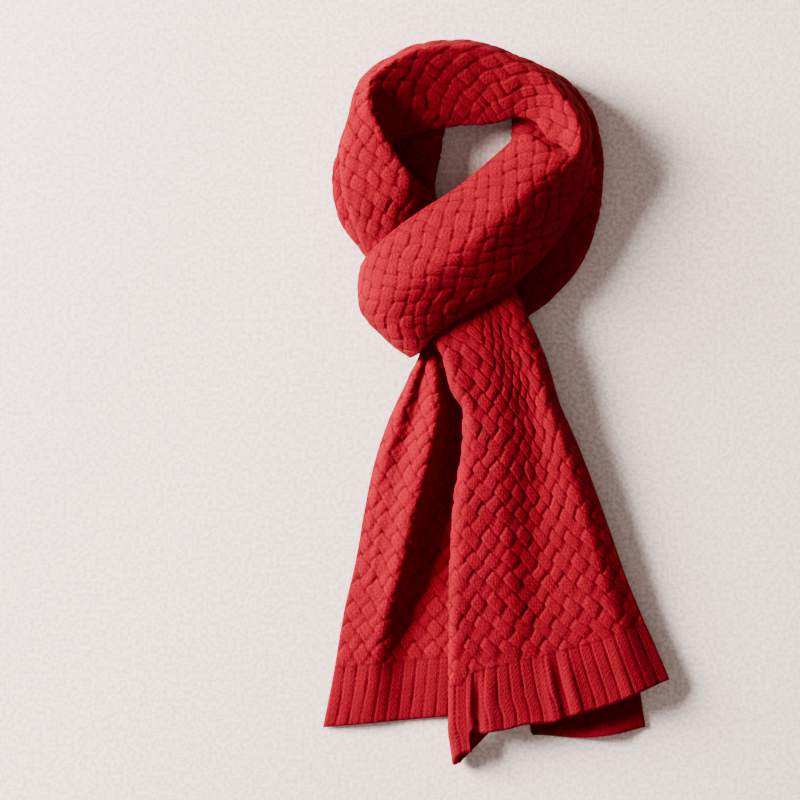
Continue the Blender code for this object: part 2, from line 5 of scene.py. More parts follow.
import bmesh
import bpy
import numpy as np
from mathutils.bvhtree import BVHTree
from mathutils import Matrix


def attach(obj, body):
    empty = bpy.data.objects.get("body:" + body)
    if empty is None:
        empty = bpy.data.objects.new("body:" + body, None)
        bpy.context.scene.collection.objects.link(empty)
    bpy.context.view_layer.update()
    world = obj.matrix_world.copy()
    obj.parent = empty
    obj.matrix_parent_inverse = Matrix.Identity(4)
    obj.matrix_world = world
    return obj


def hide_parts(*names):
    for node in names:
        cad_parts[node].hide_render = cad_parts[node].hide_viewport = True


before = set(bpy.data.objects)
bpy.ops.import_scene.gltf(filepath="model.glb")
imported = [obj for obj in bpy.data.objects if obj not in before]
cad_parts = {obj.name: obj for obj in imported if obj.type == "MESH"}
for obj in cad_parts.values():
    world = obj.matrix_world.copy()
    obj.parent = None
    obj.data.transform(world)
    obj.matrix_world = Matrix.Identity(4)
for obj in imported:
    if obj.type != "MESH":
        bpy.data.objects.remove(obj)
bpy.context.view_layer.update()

MM = 0.001

# ------------------------------------ the cloth, mm
WALL = 3.6             # thickness of the cabled knit
STACK = WALL + 0.5     # from one layer of a folded tail to the next
LIE = 1.6              # air between the front tail and what it lies on
DRAPE_SLOPE = 0.45     # steepest fall of a layer off the one that it lies on
RISE_SHARE = 0.07      # the back tail's top layer is up this share of its width before the fold
EDGE_INSET = 5.0       # how far in from a neck section's edges its flat underside starts
RIM = 2.5              # least thickness of the knot's band
SKIN = 3.2             # wall of the hollow neck pieces

CELL_ACROSS = 13.8     # the basket weave's diamond across and along the cloth
CELL_ALONG = 16.6
STRAND_PITCH = 10.8    # about the distance from one strand to the next
WAVE = 0.50            # how far the strands of the weave rise and dive
SUDDEN = 2.5           # how suddenly they do it
ROUND = 0.85           # how far a strand's sides fall from its flat top
FLAT = 4.6             # how flat that top is
WIDE_HALF = 0.46       # half widths of the two families of strands, in cells
NARROW_HALF = 0.35
RIB_PITCH = 9.0        # ribs of the scarf's two ends
RIB_DEPTH = 1.35
PLAIN_PAINTED_LIGHT = 0.75           # painted light level of cloth without relief (0 is full painted shade)
INNER_FACE_PAINTED_LIGHT = 0.6           # painted light level of a shell's inner face: painted shade, darker than plain cloth

NECK_DRIFT = 4.4       # how far the unevenness of the hand shifts the weave and the ribs
TAIL_DRIFT_ACROSS = 2.4
TAIL_DRIFT_ALONG = 3.0
RIB_DRIFT = 1.2
NECK_LUMPS = 0.3       # how far it raises the surface
TAIL_LUMPS = 0.25
LUMP_SEED, ACROSS_SEED, ALONG_SEED, RIB_SEED = 3, 5, 9, 15

WALE_PITCH = 3.6       # columns of stitches in the weave, and in the ribs
RIB_WALE_PITCH = 3.3
STITCH_PITCH = 3.4     # from one stitch to the next along a column

FINE = 1.0             # grid of the faces that show
COARSE = 8.0           # grid of the faces that don't
INNER_EVERY = 6        # rows or columns of an outer face to one of the inner face
SECTION_POINTS = 60    # points on each of the two sides of a neck section
NECK_STEPS = 6         # rows made from each row of a table
TAIL_STEPS = 8

# The baking map's strips, from below: the outer face, each rim and the inner face.
OUTER_HIGH = 0.86
RIM_FROM, RIM_STEP, RIM_HIGH = 0.87, 0.006, 0.004
INNER_FROM, INNER_HIGH = 0.90, 0.10
MAP_SPAN = 100.0       # mm of cloth in one unit of the other maps

# The neck loop's lower turn, its upper turn and the band that goes on from that one.
UNDER_COLUMNS = ("outer_x", "outer_y", "inner_x", "inner_y", "base", "top")
UNDER_ROWS = (
    (-79.5, 81.0, -20.0, 124.0, 13.0, 24.0),
    (-88.0, 97.0, -35.0, 138.0, 13.0, 24.0),
    (-99.0, 112.0, -44.0, 151.0, 9.0, 22.5),
    (-113.5, 130.0, -45.5, 162.0, 0.0, 21.5),
    (-120.5, 148.0, -44.0, 172.0, 0.0, 21.0),
    (-122.5, 168.0, -41.5, 183.0, 0.0, 21.0),
    (-116.5, 195.0, -39.0, 200.0, 0.0, 21.0),
    (-105.0, 225.0, -35.0, 213.0, 0.0, 21.0),
    (-84.0, 247.0, -24.0, 223.0, 0.0, 21.0),
    (-51.0, 262.0, -13.0, 227.0, 0.0, 21.0),
    (-12.0, 263.0, -3.0, 226.0, 0.0, 21.0),
    (28.0, 254.5, 7.0, 221.0, 0.0, 21.0),
    (57.0, 238.0, 12.0, 213.0, 0.0, 21.0),
    (74.6, 212.0, 12.0, 202.0, 0.0, 21.0),
    (80.6, 180.0, 8.0, 186.0, 0.0, 21.0),
    (79.0, 151.0, 2.0, 167.0, 0.0, 20.5),
    (67.0, 109.0, -5.0, 145.0, 0.0, 18.0),
    (40.0, 76.0, -10.0, 133.0, 0.0, 11.5),
    (8.0, 54.0, -14.0, 126.0, 0.0, 10.0),
)
# Share of the way from the outer to the inner edge, and share of the height.
UNDER_PROFILE = ((0.0, 0.20), (0.035, 0.46), (0.0, 0.72), (0.055, 0.94), (0.22, 1.0),
                 (0.50, 0.96), (0.78, 1.0), (0.945, 0.94), (1.0, 0.72), (0.965, 0.46),
                 (1.0, 0.20))

OVER_COLUMNS = ("outer_x", "outer_y", "outer_z", "crest_x", "crest_y", "crest_z",
                "inner_x", "inner_y", "inner_z", "base")
OVER_ROWS = (
    (-74.0, 75.0, 30.0, -45.0, 96.0, 36.0, -14.0, 117.0, 30.0, 25.4),
    (-84.0, 95.0, 31.5, -57.0, 114.0, 36.5, -30.0, 132.0, 31.0, 25.4),
    (-96.5, 112.0, 34.0, -66.0, 130.0, 39.0, -44.0, 147.0, 33.0, 24.6),
    (-104.0, 130.0, 37.0, -65.0, 147.0, 46.0, -47.0, 154.0, 36.0, 23.0),
    (-109.0, 144.0, 40.0, -64.0, 162.0, 53.0, -54.0, 160.5, 38.0, 22.0),
    (-115.0, 166.0, 42.0, -71.0, 176.0, 55.0, -64.0, 170.0, 38.0, 22.0),
    (-115.5, 184.0, 43.0, -80.5, 191.0, 56.0, -73.0, 181.5, 36.0, 22.0),
    (-111.5, 203.0, 44.0, -87.0, 205.0, 57.0, -77.0, 192.5, 30.0, 22.0),
    (-107.0, 224.0, 45.0, -92.5, 222.0, 57.0, -67.0, 198.5, 27.0, 22.0),
    (-100.5, 240.0, 45.0, -91.5, 236.0, 57.0, -55.0, 202.0, 26.0, 22.0),
    (-83.0, 253.0, 45.0, -78.0, 247.0, 57.0, -42.0, 204.5, 25.5, 22.0),
    (-54.0, 266.2, 44.5, -51.0, 259.0, 57.0, -26.0, 207.0, 25.5, 22.0),
    (-20.0, 268.4, 42.5, -19.0, 260.0, 55.0, -10.0, 207.5, 26.0, 22.0),
    (12.0, 258.2, 39.5, 9.0, 250.0, 52.0, 4.0, 209.5, 27.0, 22.0),
    (38.0, 247.0, 36.5, 32.0, 240.0, 49.5, 15.0, 212.5, 28.0, 22.0),
    (57.0, 228.0, 34.0, 49.0, 222.0, 48.0, 28.0, 209.5, 31.0, 22.0),
    (69.0, 209.0, 32.0, 59.0, 206.0, 48.0, 35.5, 198.5, 35.0, 22.0),
    (72.0, 193.0, 30.0, 61.0, 191.0, 48.5, 46.0, 188.3, 38.0, 22.0),
)

BAND_COLUMNS = ("low_x", "low_y", "low_z", "mid_x", "mid_y", "mid_z",
                "high_x", "high_y", "high_z", "thick", "turn")
BAND_ROWS = (
    (72.0, 192.4, 26.0, 61.0, 190.3, 48.5, 46.2, 187.5, 38.0, 8.0, -90.0),
    (71.5, 180.0, 25.0, 60.0, 183.5, 49.0, 42.0, 188.7, 39.0, 7.0, -90.0),
    (70.3, 169.0, 25.0, 54.0, 178.5, 50.5, 33.5, 193.5, 41.0, 7.0, -90.0),
    (68.5, 162.0, 25.0, 46.0, 174.5, 52.5, 20.0, 200.5, 42.5, 12.0, -90.0),
    (63.5, 152.0, 26.0, 32.0, 164.5, 55.5, 3.0, 188.0, 43.5, 16.0, -90.0),
    (54.0, 132.0, 29.0, 15.0, 147.0, 60.0, -14.0, 173.0, 45.5, 21.0, -90.0),
    (32.0, 104.0, 36.0, -6.0, 127.0, 63.0, -34.0, 157.0, 47.0, 24.0, -90.0),
    (2.0, 79.0, 40.5, -31.0, 107.0, 63.5, -56.0, 143.5, 50.0, 24.0, -90.0),
    (-27.0, 62.0, 40.5, -57.0, 91.0, 62.0, -77.0, 128.0, 49.0, 22.0, -85.0),
    (-46.0, 49.0, 40.0, -77.0, 79.0, 57.0, -91.0, 116.0, 46.0, 17.0, -65.0),
    (-57.5, 36.5, 38.0, -94.0, 70.0, 44.0, -98.5, 107.0, 38.0, 12.0, -35.0),
    (-64.0, 33.0, 22.0, -100.5, 67.0, 27.0, -101.5, 102.0, 24.0, 11.0, 0.0),
    (-61.0, 37.0, 7.0, -93.0, 69.0, 9.0, -95.0, 101.0, 10.0, 11.0, 35.0),
    (-46.0, 42.0, 0.5, -74.0, 73.0, 0.0, -84.0, 103.0, 1.0, 12.0, 80.0),
    (-26.0, 46.0, 0.0, -46.0, 80.0, 0.0, -58.0, 114.0, 0.0, 12.0, 90.0),
    (6.6, 53.6, 0.0, -4.4, 89.5, 0.0, -15.4, 125.5, 0.0, 10.0, 90.0),
)

BAND_INWARDS = (0.885, 0.466)    # plan direction into the band where it turns down
BAND_BULGE = 2.5       # how far its sides swell out between its edges and its middle

# The tails, each with its ribbed end.
BACK_COLUMNS = ("left_x", "left_y", "right_x", "right_y", "inner_x", "inner_y",
                "end_x", "end_y", "base", "strip_z", "crease_at", "crease_z",
                "ridge_at", "ridge_z", "valley_at", "valley_z", "rise_z", "bow", "lift")
BACK_ROWS = (
    (-82.4, 78.2, -25.0, 119.0, -60.0, 94.0, -20.4, 122.4,
     13.0, 24.8, 0.12, 24.8, 0.25, 24.8, 0.44, 24.8, 24.8, 0.0, 0.0),
    (-70.0, 61.0, -12.0, 103.0, -48.0, 77.0, -6.0, 107.0,
     13.0, 24.8, 0.12, 24.8, 0.25, 24.8, 0.44, 24.8, 24.8, 0.0, 0.0),
    (-54.0, 46.0, 2.0, 87.0, -35.0, 61.0, 7.0, 90.0,
     13.0, 24.8, 0.12, 24.6, 0.24, 24.9, 0.42, 24.8, 24.8, 0.0, 0.0),
    (-58.5, 31.0, 12.0, 68.0, -22.0, 51.0, 17.0, 70.0,
     12.6, 23.0, 0.11, 21.0, 0.20, 26.0, 0.38, 22.5, 23.0, 0.0, 0.0),
    (-64.0, 21.0, 17.0, 53.0, -17.0, 38.0, 22.5, 55.0,
     11.2, 21.5, 0.12, 19.0, 0.23, 25.5, 0.38, 18.0, 19.0, 0.0, 0.0),
    (-69.4, 10.1, 22.0, 38.0, -12.0, 26.0, 28.0, 40.0,
     8.2, 19.5, 0.14, 17.0, 0.26, 25.0, 0.39, 13.0, 14.0, 0.0, 0.0),
    (-79.1, -10.9, 31.0, 5.0, -4.0, -1.0, 37.0, 6.0,
     3.0, 17.0, 0.15, 14.5, 0.32, 25.0, 0.43, 8.0, 9.0, 0.0, 0.0),
    (-90.4, -43.9, 45.0, -36.0, 4.0, -42.0, 51.0, -36.0,
     0.0, 13.5, 0.12, 13.0, 0.29, 24.5, 0.39, 4.0, 5.0, 0.0, 0.0),
    (-98.6, -82.1, 59.0, -76.0, 11.0, -84.0, 67.0, -77.0,
     0.0, 9.0, 0.10, 13.0, 0.235, 23.5, 0.32, 3.8, 4.0, 0.0, 0.0),
    (-104.6, -117.4, 71.0, -110.0, 16.0, -121.0, 80.0, -114.0,
     0.0, 8.0, 0.09, 12.0, 0.20, 21.5, 0.275, 3.8, 4.2, 0.0, 0.0),
    (-113.9, -157.1, 84.0, -144.0, 21.0, -163.0, 94.0, -154.0,
     0.0, 7.0, 0.08, 10.0, 0.165, 16.5, 0.25, 4.0, 7.5, 0.0, 0.0),
    (-120.6, -197.6, 93.0, -177.6, 25.0, -203.4, 105.0, -197.0,
     0.0, 6.0, 0.07, 7.5, 0.14, 10.0, 0.24, 4.5, 9.0, 0.0, 0.0),
    (-125.0, -221.0, 96.0, -200.0, 26.5, -226.5, 109.0, -220.0,
     0.0, 5.5, 0.07, 6.5, 0.14, 8.5, 0.26, 4.5, 7.5, 0.5, 0.0),
    (-127.5, -233.5, 97.4, -212.0, 27.2, -239.0, 110.8, -232.4,
     0.0, 5.2, 0.07, 6.2, 0.14, 7.6, 0.27, 4.5, 6.6, 2.0, 0.1),
    (-129.4, -243.0, 98.6, -222.0, 27.8, -248.6, 112.4, -242.5,
     0.0, 5.0, 0.07, 6.0, 0.14, 7.0, 0.28, 4.5, 6.0, 5.0, 7.0),
)
BACK_RIB_FROM = 11     # the row where the ribbed end begins

FRONT_COLUMNS = ("left_x", "left_y", "right_x", "right_y", "roll_z", "hump_z",
                 "valley_at", "valley_z", "swell_z", "edge_z", "bow")
FRONT_ROWS = (
    (-73.0, 74.2, -13.6, 116.0, 36.0, 36.0, 0.70, 36.0, 36.0, 35.0, 0.0),
    (-60.0, 58.5, 0.0, 100.0, 36.0, 36.0, 0.70, 36.0, 36.0, 35.0, 0.0),
    (-49.0, 47.0, 12.0, 87.0, 36.5, 36.0, 0.70, 35.5, 36.0, 34.0, 0.0),
    (-39.6, 33.4, 24.0, 63.0, 39.0, 38.0, 0.71, 34.5, 35.0, 31.5, 0.0),
    (-33.0, 11.1, 38.6, 29.6, 38.0, 36.5, 0.71, 31.5, 33.0, 27.5, 0.0),
    (-26.6, -6.4, 46.5, 2.0, 35.0, 34.5, 0.70, 28.5, 31.5, 24.5, 0.0),
    (-27.4, -30.4, 59.6, -27.4, 32.0, 32.5, 0.67, 26.0, 30.0, 22.0, 0.0),
    (-33.0, -63.4, 73.1, -61.9, 30.0, 30.5, 0.61, 24.0, 28.0, 20.0, 0.0),
    (-35.2, -100.0, 86.0, -98.0, 28.0, 28.5, 0.55, 22.5, 26.5, 18.5, 0.0),
    (-35.6, -135.0, 97.6, -131.0, 26.5, 26.5, 0.51, 22.0, 25.0, 17.0, 1.0),
    (-35.6, -173.0, 104.6, -148.0, 24.0, 24.5, 0.48, 21.5, 24.0, 16.0, 3.0),
    (-35.6, -210.6, 111.4, -164.0, 21.0, 23.0, 0.48, 21.5, 23.0, 15.5, 5.0),
    (-35.6, -239.0, 120.8, -185.0, 18.5, 22.5, 0.48, 21.5, 22.5, 15.0, 8.0),
    (-33.0, -270.0, 129.6, -206.0, 16.0, 22.0, 0.48, 21.5, 22.0, 14.5, 14.5),
)
FRONT_RIB_FROM = 11
LOWER_EDGE = 0.975     # where the lower layer ends, as a share of the tail's width
HUMP_AT = 0.30         # its hump and its swell, as shares of the same
SWELL_AT = 0.86
# The hem's curve in plan: share of the width, and share of the row's bow.
BOW_KNOTS = ((0.0, 0.40), (0.045, -0.12), (0.085, -0.20), (0.115, 0.85), (0.17, 0.93),
             (0.31, 0.65), (0.50, 0.16), (0.74, -0.07), (1.0, 0.0))
# Pleats of the ribbed end: share of the width, rise in mm and spread in shares.
RIB_PLEATS = ((0.115, 2.6, 0.024), (0.155, -1.4, 0.018), (0.205, 1.8, 0.030),
              (0.49, 2.6, 0.026), (0.53, -1.6, 0.018), (0.585, 2.0, 0.028), (0.82, 1.4, 0.030))
# How far round a place the cloth on top feels what is below it.
REACH = ((0, 0), (9, 0), (-9, 0), (0, 11), (0, -11), (6, 7), (-6, 7), (6, -7), (-6, -7))


# ------------------------------------ smooth grids
def smooth_rows(rows, steps):
    """Rows between the table's rows, on smooth curves that never pass a row's value."""
    table = np.array(rows, dtype=float)
    slopes = np.diff(table, axis=0)
    before, after = slopes[:-1], slopes[1:]
    inner = np.where(before * after > 0.0, 2 * before * after / (before + after + 1e-12), 0.0)
    tangents = np.vstack((slopes[0], inner, slopes[-1]))
    result = []
    for index in range(len(table) - 1):
        start, end = table[index], table[index + 1]
        leave, arrive = tangents[index], tangents[index + 1]
        for step in range(steps):
            t = step / steps
            result.append(start * (2 * t ** 3 - 3 * t ** 2 + 1)
                          + leave * (t ** 3 - 2 * t ** 2 + t)
                          + end * (3 * t ** 2 - 2 * t ** 3) + arrive * (t ** 3 - t ** 2))
    result.append(table[-1])
    return np.array(result)


def curve_through(points, count):
    """Evenly spaced points on a Catmull-Rom curve through a few 3-D points."""
    knots = np.array(points, dtype=float)
    padded = np.vstack((2 * knots[0] - knots[1], knots, 2 * knots[-1] - knots[-2]))
    dense = []
    for index in range(len(knots) - 1):
        before, start, end, after = padded[index:index + 4]
        for t in np.linspace(0.0, 1.0, 12, endpoint=False):
            dense.append(0.5 * (2 * start + (end - before) * t
                                + (2 * before - 5 * start + 4 * end - after) * t ** 2
                                + (3 * start - before - 3 * end + after) * t ** 3))
    dense = np.array((*dense, knots[-1]))
    travel = travel_along(dense)
    places = np.linspace(0.0, travel[-1], count)
    return np.column_stack([np.interp(places, travel, dense[:, axis]) for axis in range(3)])


def cubic_weights(places, count, wrap):
    """Four indices and Catmull-Rom weights for each place along a row of points."""
    base = np.floor(places).astype(int)
    if not wrap:
        base = np.clip(base, 0, count - 2)
    t = places - base
    index = base[:, None] + np.arange(-1, 3)
    index = index % count if wrap else np.clip(index, 0, count - 1)
    weights = np.stack((-0.5 * t + t ** 2 - 0.5 * t ** 3, 1 - 2.5 * t ** 2 + 1.5 * t ** 3,
                        0.5 * t + 2 * t ** 2 - 1.5 * t ** 3, -0.5 * t ** 2 + 0.5 * t ** 3),
                       axis=1)
    return index, weights


def resample(grid, places, axis, wrap=False):
    """The grid at fractional places along one axis, on smooth curves."""
    moved = np.moveaxis(grid, axis, 0)
    index, weights = cubic_weights(np.asarray(places, float), moved.shape[0], wrap)
    shape = (len(places), 4) + (1,) * (moved.ndim - 1)
    return np.moveaxis((moved[index] * weights.reshape(shape)).sum(axis=1), 0, axis)


def blurred(grid, axis, passes, wrap=False):
    """The grid with its kinks eased along one axis; the ends stay."""
    moved = np.moveaxis(np.array(grid, float), axis, 0)
    for _ in range(passes):
        if wrap:
            moved = 0.25 * np.roll(moved, 1, 0) + 0.5 * moved + 0.25 * np.roll(moved, -1, 0)
        else:
            inner = 0.25 * moved[:-2] + 0.5 * moved[1:-1] + 0.25 * moved[2:]
            moved = np.concatenate((moved[:1], inner, moved[-1:]))
    return np.moveaxis(moved, 0, axis)


def travel_along(points):
    """Distance from the first point to each one."""
    steps = np.linalg.norm(np.diff(points, axis=0), axis=1)
    return np.concatenate(([0.0], np.cumsum(steps)))


def travel_across(grid):
    """Distance along each row of the grid, from its first column to each one."""
    steps = np.linalg.norm(np.diff(grid, axis=1), axis=2)
    return np.concatenate((np.zeros((len(grid), 1)), np.cumsum(steps, axis=1)), axis=1)


def unit(vectors):
    return vectors / np.maximum(np.linalg.norm(vectors, axis=-1, keepdims=True), 1e-9)


def smoothstep(value, low=0.0, high=1.0):
    value = np.clip((np.asarray(value, float) - low) / (high - low), 0.0, 1.0)
    return value * value * (3.0 - 2.0 * value)


def blend_heights(shares, knots):
    """Heights at shares of the width, easing from knot to knot (share, height)."""
    shares = np.asarray(shares, float)
    heights = np.full(shares.shape, float(knots[0][1]))
    for (low_at, low), (high_at, high) in zip(knots, knots[1:]):
        heights = heights + (high - low) * smoothstep(shares, low_at, max(high_at, low_at + 1e-6))
    return heights


# ------------------------------------ sections
def point(cell, name, axes="xy"):
    """The place that a row's columns of this name give."""
    return np.array([cell[name + "_" + axis] for axis in axes])


def drawn_in(edge, towards, height):
    """A plan edge moved in a little, at the given height."""
    inwards = towards[:2] - edge[:2]
    inwards /= np.linalg.norm(inwards)
    return (*(edge[:2] + inwards * EDGE_INSET), height)


def closed_section(outer, ridge, inner, base):
    """A section's upper side through the ridge's points, and its flat underside."""
    first, last = drawn_in(outer, inner, base), drawn_in(inner, outer, base)
    upper = curve_through([first, *ridge, last], SECTION_POINTS)
    return upper, np.linspace(first, last, SECTION_POINTS + 2)[1:-1]


def under_section(row):
    """The lower turn: a thick roll with a groove where its gathered layers part."""
    cell = dict(zip(UNDER_COLUMNS, row))
    outer, inner = point(cell, "outer"), point(cell, "inner")
    height = cell["top"] - cell["base"]
    ridge = [(*(outer + (inner - outer) * share), cell["base"] + height * level)
             for share, level in UNDER_PROFILE]
    return closed_section(outer, ridge, inner, cell["base"])


def over_section(row):
    """The upper turn: a collar that stands up to its crest and slopes to its inner edge."""
    cell = dict(zip(OVER_COLUMNS, row))
    outer, crest, inner = (point(cell, name, "xyz") for name in ("outer", "crest", "inner"))
    shoulder = outer * 0.45 + crest * 0.55 + (0.0, 0.0, 3.0)
    slope = inner * 0.5 + crest * 0.5 - (0.0, 0.0, 1.0)
    return closed_section(outer, [outer, shoulder, crest, slope, inner], inner, cell["base"])


def band_section(row):
    """The knot's band: an arched outer side, and a thickness that turns about the band."""
    cell = dict(zip(BAND_COLUMNS, row))
    low, mid, high = (point(cell, name, "xyz") for name in ("low", "mid", "high"))
    angle = math.radians(cell["turn"])
    depth = np.array((*(math.cos(angle) * share for share in BAND_INWARDS), math.sin(angle)))
    fold = 1.0 - float(smoothstep(cell["turn"], 40.0, 75.0))
    near_low = low * 0.6 + mid * 0.4 - depth * BAND_BULGE * fold
    near_high = high * 0.6 + mid * 0.4 - depth * BAND_BULGE * fold
    outer = curve_through([low, near_low, mid, near_high, high], SECTION_POINTS)
    share = np.linspace(-1.0, 1.0, SECTION_POINTS)
    fullness = np.sqrt(np.clip(1.0 - np.abs(share) ** 3, 0.0, 1.0))
    room = cell["thick"] + (mid - outer) @ depth
    laid = np.maximum(np.minimum(cell["thick"] * fullness, room), RIM)
    return outer, outer + depth * laid[:, None]


def fold_points(corner, outwards, upper_z, lower_z, count):
    """The half-round turn of a fold between two layers, beyond its plan corner."""
    angles = math.pi * np.arange(1, count) / count
    radius = (upper_z - lower_z) / 2
    plan = corner + outwards * (abs(radius) * np.sin(angles))[:, None]
    return np.column_stack((plan, (upper_z + lower_z) / 2 + radius * np.cos(angles)))


def layer_points(start, end, heights):
    """A flat-lying layer's points, at even shares of its width."""
    shares = np.linspace(0.0, 1.0, len(heights))
    return np.column_stack((start + (end - start) * shares[:, None], heights))


# The nodes of a back tail's section: top layer, right fold, middle layer, inner fold
# and bottom layer.
BACK_NODES = (0, 48, 56, 62, 70, 82)


def arched(points, bow, lift):
    """A layer's points drawn down by bow and up by lift at the middle of its width."""
    points = np.array(points, dtype=float)
    span = unit(points[-1, :2] - points[0, :2])
    share = np.linspace(0.0, 1.0, len(points))
    points[:, 0] += span[1] * bow * np.sin(np.pi * share)
    points[:, 1] -= span[0] * bow * np.sin(np.pi * share)
    points[:, 2] += lift * np.sin(np.pi * share ** 1.5) ** 2
    return points


def back_midline(cell):
    """The back tail's Z fold, from its left edge on top to its free end below."""
    left, right = point(cell, "left"), point(cell, "right")
    inner, end = point(cell, "inner"), point(cell, "end")
    half = WALL / 2
    bottom = cell["base"] + half
    top = bottom + 2 * STACK
    across = unit(right - left)
    inner_share = np.dot(inner - left, across) / np.linalg.norm(right - left)
    climbed = inner_share - RISE_SHARE
    rise_at = cell["valley_at"] * 0.5 + climbed * 0.5
    knots = ((0.0, bottom + 0.4), (cell["crease_at"] * 0.5, cell["strip_z"] - half),
             (cell["crease_at"], cell["crease_z"] - half),
             (cell["ridge_at"], cell["ridge_z"] - half),
             (cell["valley_at"], cell["valley_z"] - half),
             (rise_at, cell["rise_z"] - half), (climbed, top), (1.0, top))
    knots = [(place, max(height, bottom)) for place, height in knots]
    fold = STACK / 2
    right_side = right - across * fold
    inner_side = inner + unit(right - inner) * fold
    top_heights = blend_heights(np.linspace(0.0, 1.0, 49), knots)
    return np.vstack((
        layer_points(left, right_side, top_heights),
        fold_points(right_side, unit(right - inner), top, top - STACK, 8),
        layer_points(right_side, inner_side, np.full(7, top - STACK)),
        fold_points(inner_side, unit(inner - right), top - STACK, bottom, 8),
        arched(layer_points(inner_side, end, np.full(13, bottom)), cell["bow"], cell["lift"])))


def surface_below(tree):
    """The highest surface close round a plan point."""
    def height_at(plan):
        best = 0.0
        for shift_x, shift_y in REACH:
            start = (plan[0] + shift_x, plan[1] + shift_y, 1000.0)
            hit = tree.ray_cast(start, (0.0, 0.0, -1.0))[0]
            if hit is not None:
                best = max(best, hit.z)
        return best
    return height_at


def draped(plans, height_at):
    """Heights of a layer that lies on what is below it and falls off it gently."""
    heights = [height_at(plan) for plan in plans]
    order = list(range(1, len(plans)))
    for here, last in [(i, i - 1) for i in order] + [(i - 1, i) for i in reversed(order)]:
        run = np.linalg.norm(plans[here] - plans[last])
        heights[here] = max(heights[here], heights[last] - DRAPE_SLOPE * run)
    return np.array(heights)


# The nodes of a front tail's section: lower layer, rolled fold and upper layer.
FRONT_NODES = (0, 10, 24, 84)


def front_midline(cell, height_at, ribbed):
    """The front tail's two layers, from its lower one's free edge round the rolled fold."""
    left, right = point(cell, "left"), point(cell, "right")
    width = np.linalg.norm(right - left)
    across = unit(right - left)
    towards_loop = np.array((-across[1], across[0]))

    def plan_at(shares):
        shares = np.atleast_1d(shares)
        bow = cell["bow"] * blend_heights(shares, BOW_KNOTS)
        return left + (right - left) * shares[:, None] + towards_loop * bow[:, None]

    half = WALL / 2
    rest_at = np.linspace(0.0, LOWER_EDGE, 24)
    rests = draped(plan_at(rest_at), height_at) + LIE + half
    roll_top = cell["roll_z"] - half
    radius = (roll_top - rests[0]) / 2
    turn = (radius + half) / width
    knots = ((0.0, roll_top), (HUMP_AT, cell["hump_z"] - half),
             (cell["valley_at"], cell["valley_z"] - half),
             (SWELL_AT, cell["swell_z"] - half), (1.0, cell["edge_z"] - half))
    lower_at = np.linspace(LOWER_EDGE, turn, 11)
    lower = np.column_stack((plan_at(lower_at), np.interp(lower_at, rest_at, rests)))
    upper_at = np.linspace(turn, 1.0, 61)
    heights = blend_heights(upper_at, knots)
    for place, rise, spread in RIB_PLEATS:
        heights = heights + ribbed * rise * np.exp(-((upper_at - place) / spread) ** 2)
    heights = np.maximum(heights, np.interp(upper_at, rest_at, rests) + STACK)
    upper = np.column_stack((plan_at(upper_at), heights))
    roll = fold_points(plan_at(turn)[0], -across, lower[-1, 2], roll_top, 14)
    return np.vstack((lower, roll, upper))


# ------------------------------------ the knit's relief
def strand(distance, half):
    """Height across a flat-topped strand: 0 on top, -1 at its edges and falling beyond."""
    x = np.abs(distance) / half
    top = np.sqrt(np.maximum(1.0 - np.minimum(x, 1.0) ** FLAT, 0.0))
    return top - 1.0 - 2.0 * np.maximum(x - 1.0, 0.0)


def dive(distance, sign):
    """Where a strand is over (1) or under (-1) the one that it crosses."""
    return np.tanh(SUDDEN * sign * np.cos(math.pi * distance)) / math.tanh(SUDDEN)


def softer_max(first, second, ease):
    return 0.5 * (first + second + np.sqrt((first - second) ** 2 + ease ** 2))


def basket(a, b):
    """The basket-cable knit at (a, b) mm: height in mm, painted light from 0 to 1 (painted
    shade deep in the gaps between the strands), and the distances in mm across and along
    the strand that is on top."""
    p = a / CELL_ACROSS + b / CELL_ALONG
    q = a / CELL_ACROSS - b / CELL_ALONG
    i, j = np.floor(p), np.floor(q)
    from_p, from_q = p - i - 0.5, q - j - 0.5
    sign = 1.0 - 2.0 * np.mod(i + j, 2.0)
    # Each crossing stands a little higher or lower than the next.
    uneven = 0.20 * np.sin(i * 12.9 + j * 7.3) + 0.16 * np.sin(i * 5.1 - j * 17.7)
    leaning = WAVE * dive(from_q, sign) + ROUND * strand(from_p, WIDE_HALF) + 0.20 + uneven
    rising = -WAVE * dive(from_p, sign) + ROUND * strand(from_q, NARROW_HALF) - uneven
    height = softer_max(softer_max(leaning, rising, 0.18), -2.0, 0.2)
    on_top = leaning > rising
    across = np.where(on_top, from_p, from_q) * STRAND_PITCH
    run = np.where(on_top, q, p) * STRAND_PITCH + np.where(on_top, i * 17.3, j * 29.1)
    # The painted light follows the relief's height: painted shade where the cloth dips between
    # strands.
    return height - 0.15, smoothstep(height, -1.75, 0.55), across, run


def ribs(a):
    """Height in mm, painted light (painted shade in the grooves between ribs) and place across of
    the ribbed ends.
    """
    turn = np.mod(a / RIB_PITCH, 1.0) - 0.5
    shape = np.sqrt(np.maximum(1.0 - np.abs(2.0 * turn) ** 4.5, 0.0))
    groove = 0.10 * np.exp(-(turn / 0.06) ** 2)
    # Painted shade: darker down the ribs' sides and darker still along the groove.
    painted_light = np.clip(smoothstep(shape, -0.25, 0.9) - groove, 0.0, 1.0)
    return RIB_DEPTH * (shape - 0.85) - 1.5 * groove, painted_light, turn * RIB_PITCH


def rolling_noise(a, b, seed):
    """Slow unevenness of hand, from a few crossing waves."""
    rng = np.random.default_rng(seed)
    total = np.zeros_like(a)
    for _ in range(7):
        angle, length = rng.uniform(0, math.pi), rng.uniform(22, 70)
        phase = rng.uniform(0, 2 * math.pi)
        total = total + np.sin((a * math.cos(angle) + b * math.sin(angle))
                               * 2 * math.pi / length + phase)
    return total / 7


# ------------------------------------ shells
def added(name, data):
    """A new object in the scene."""
    thing = bpy.data.objects.new(name, data)
    bpy.context.scene.collection.objects.link(thing)
    return thing


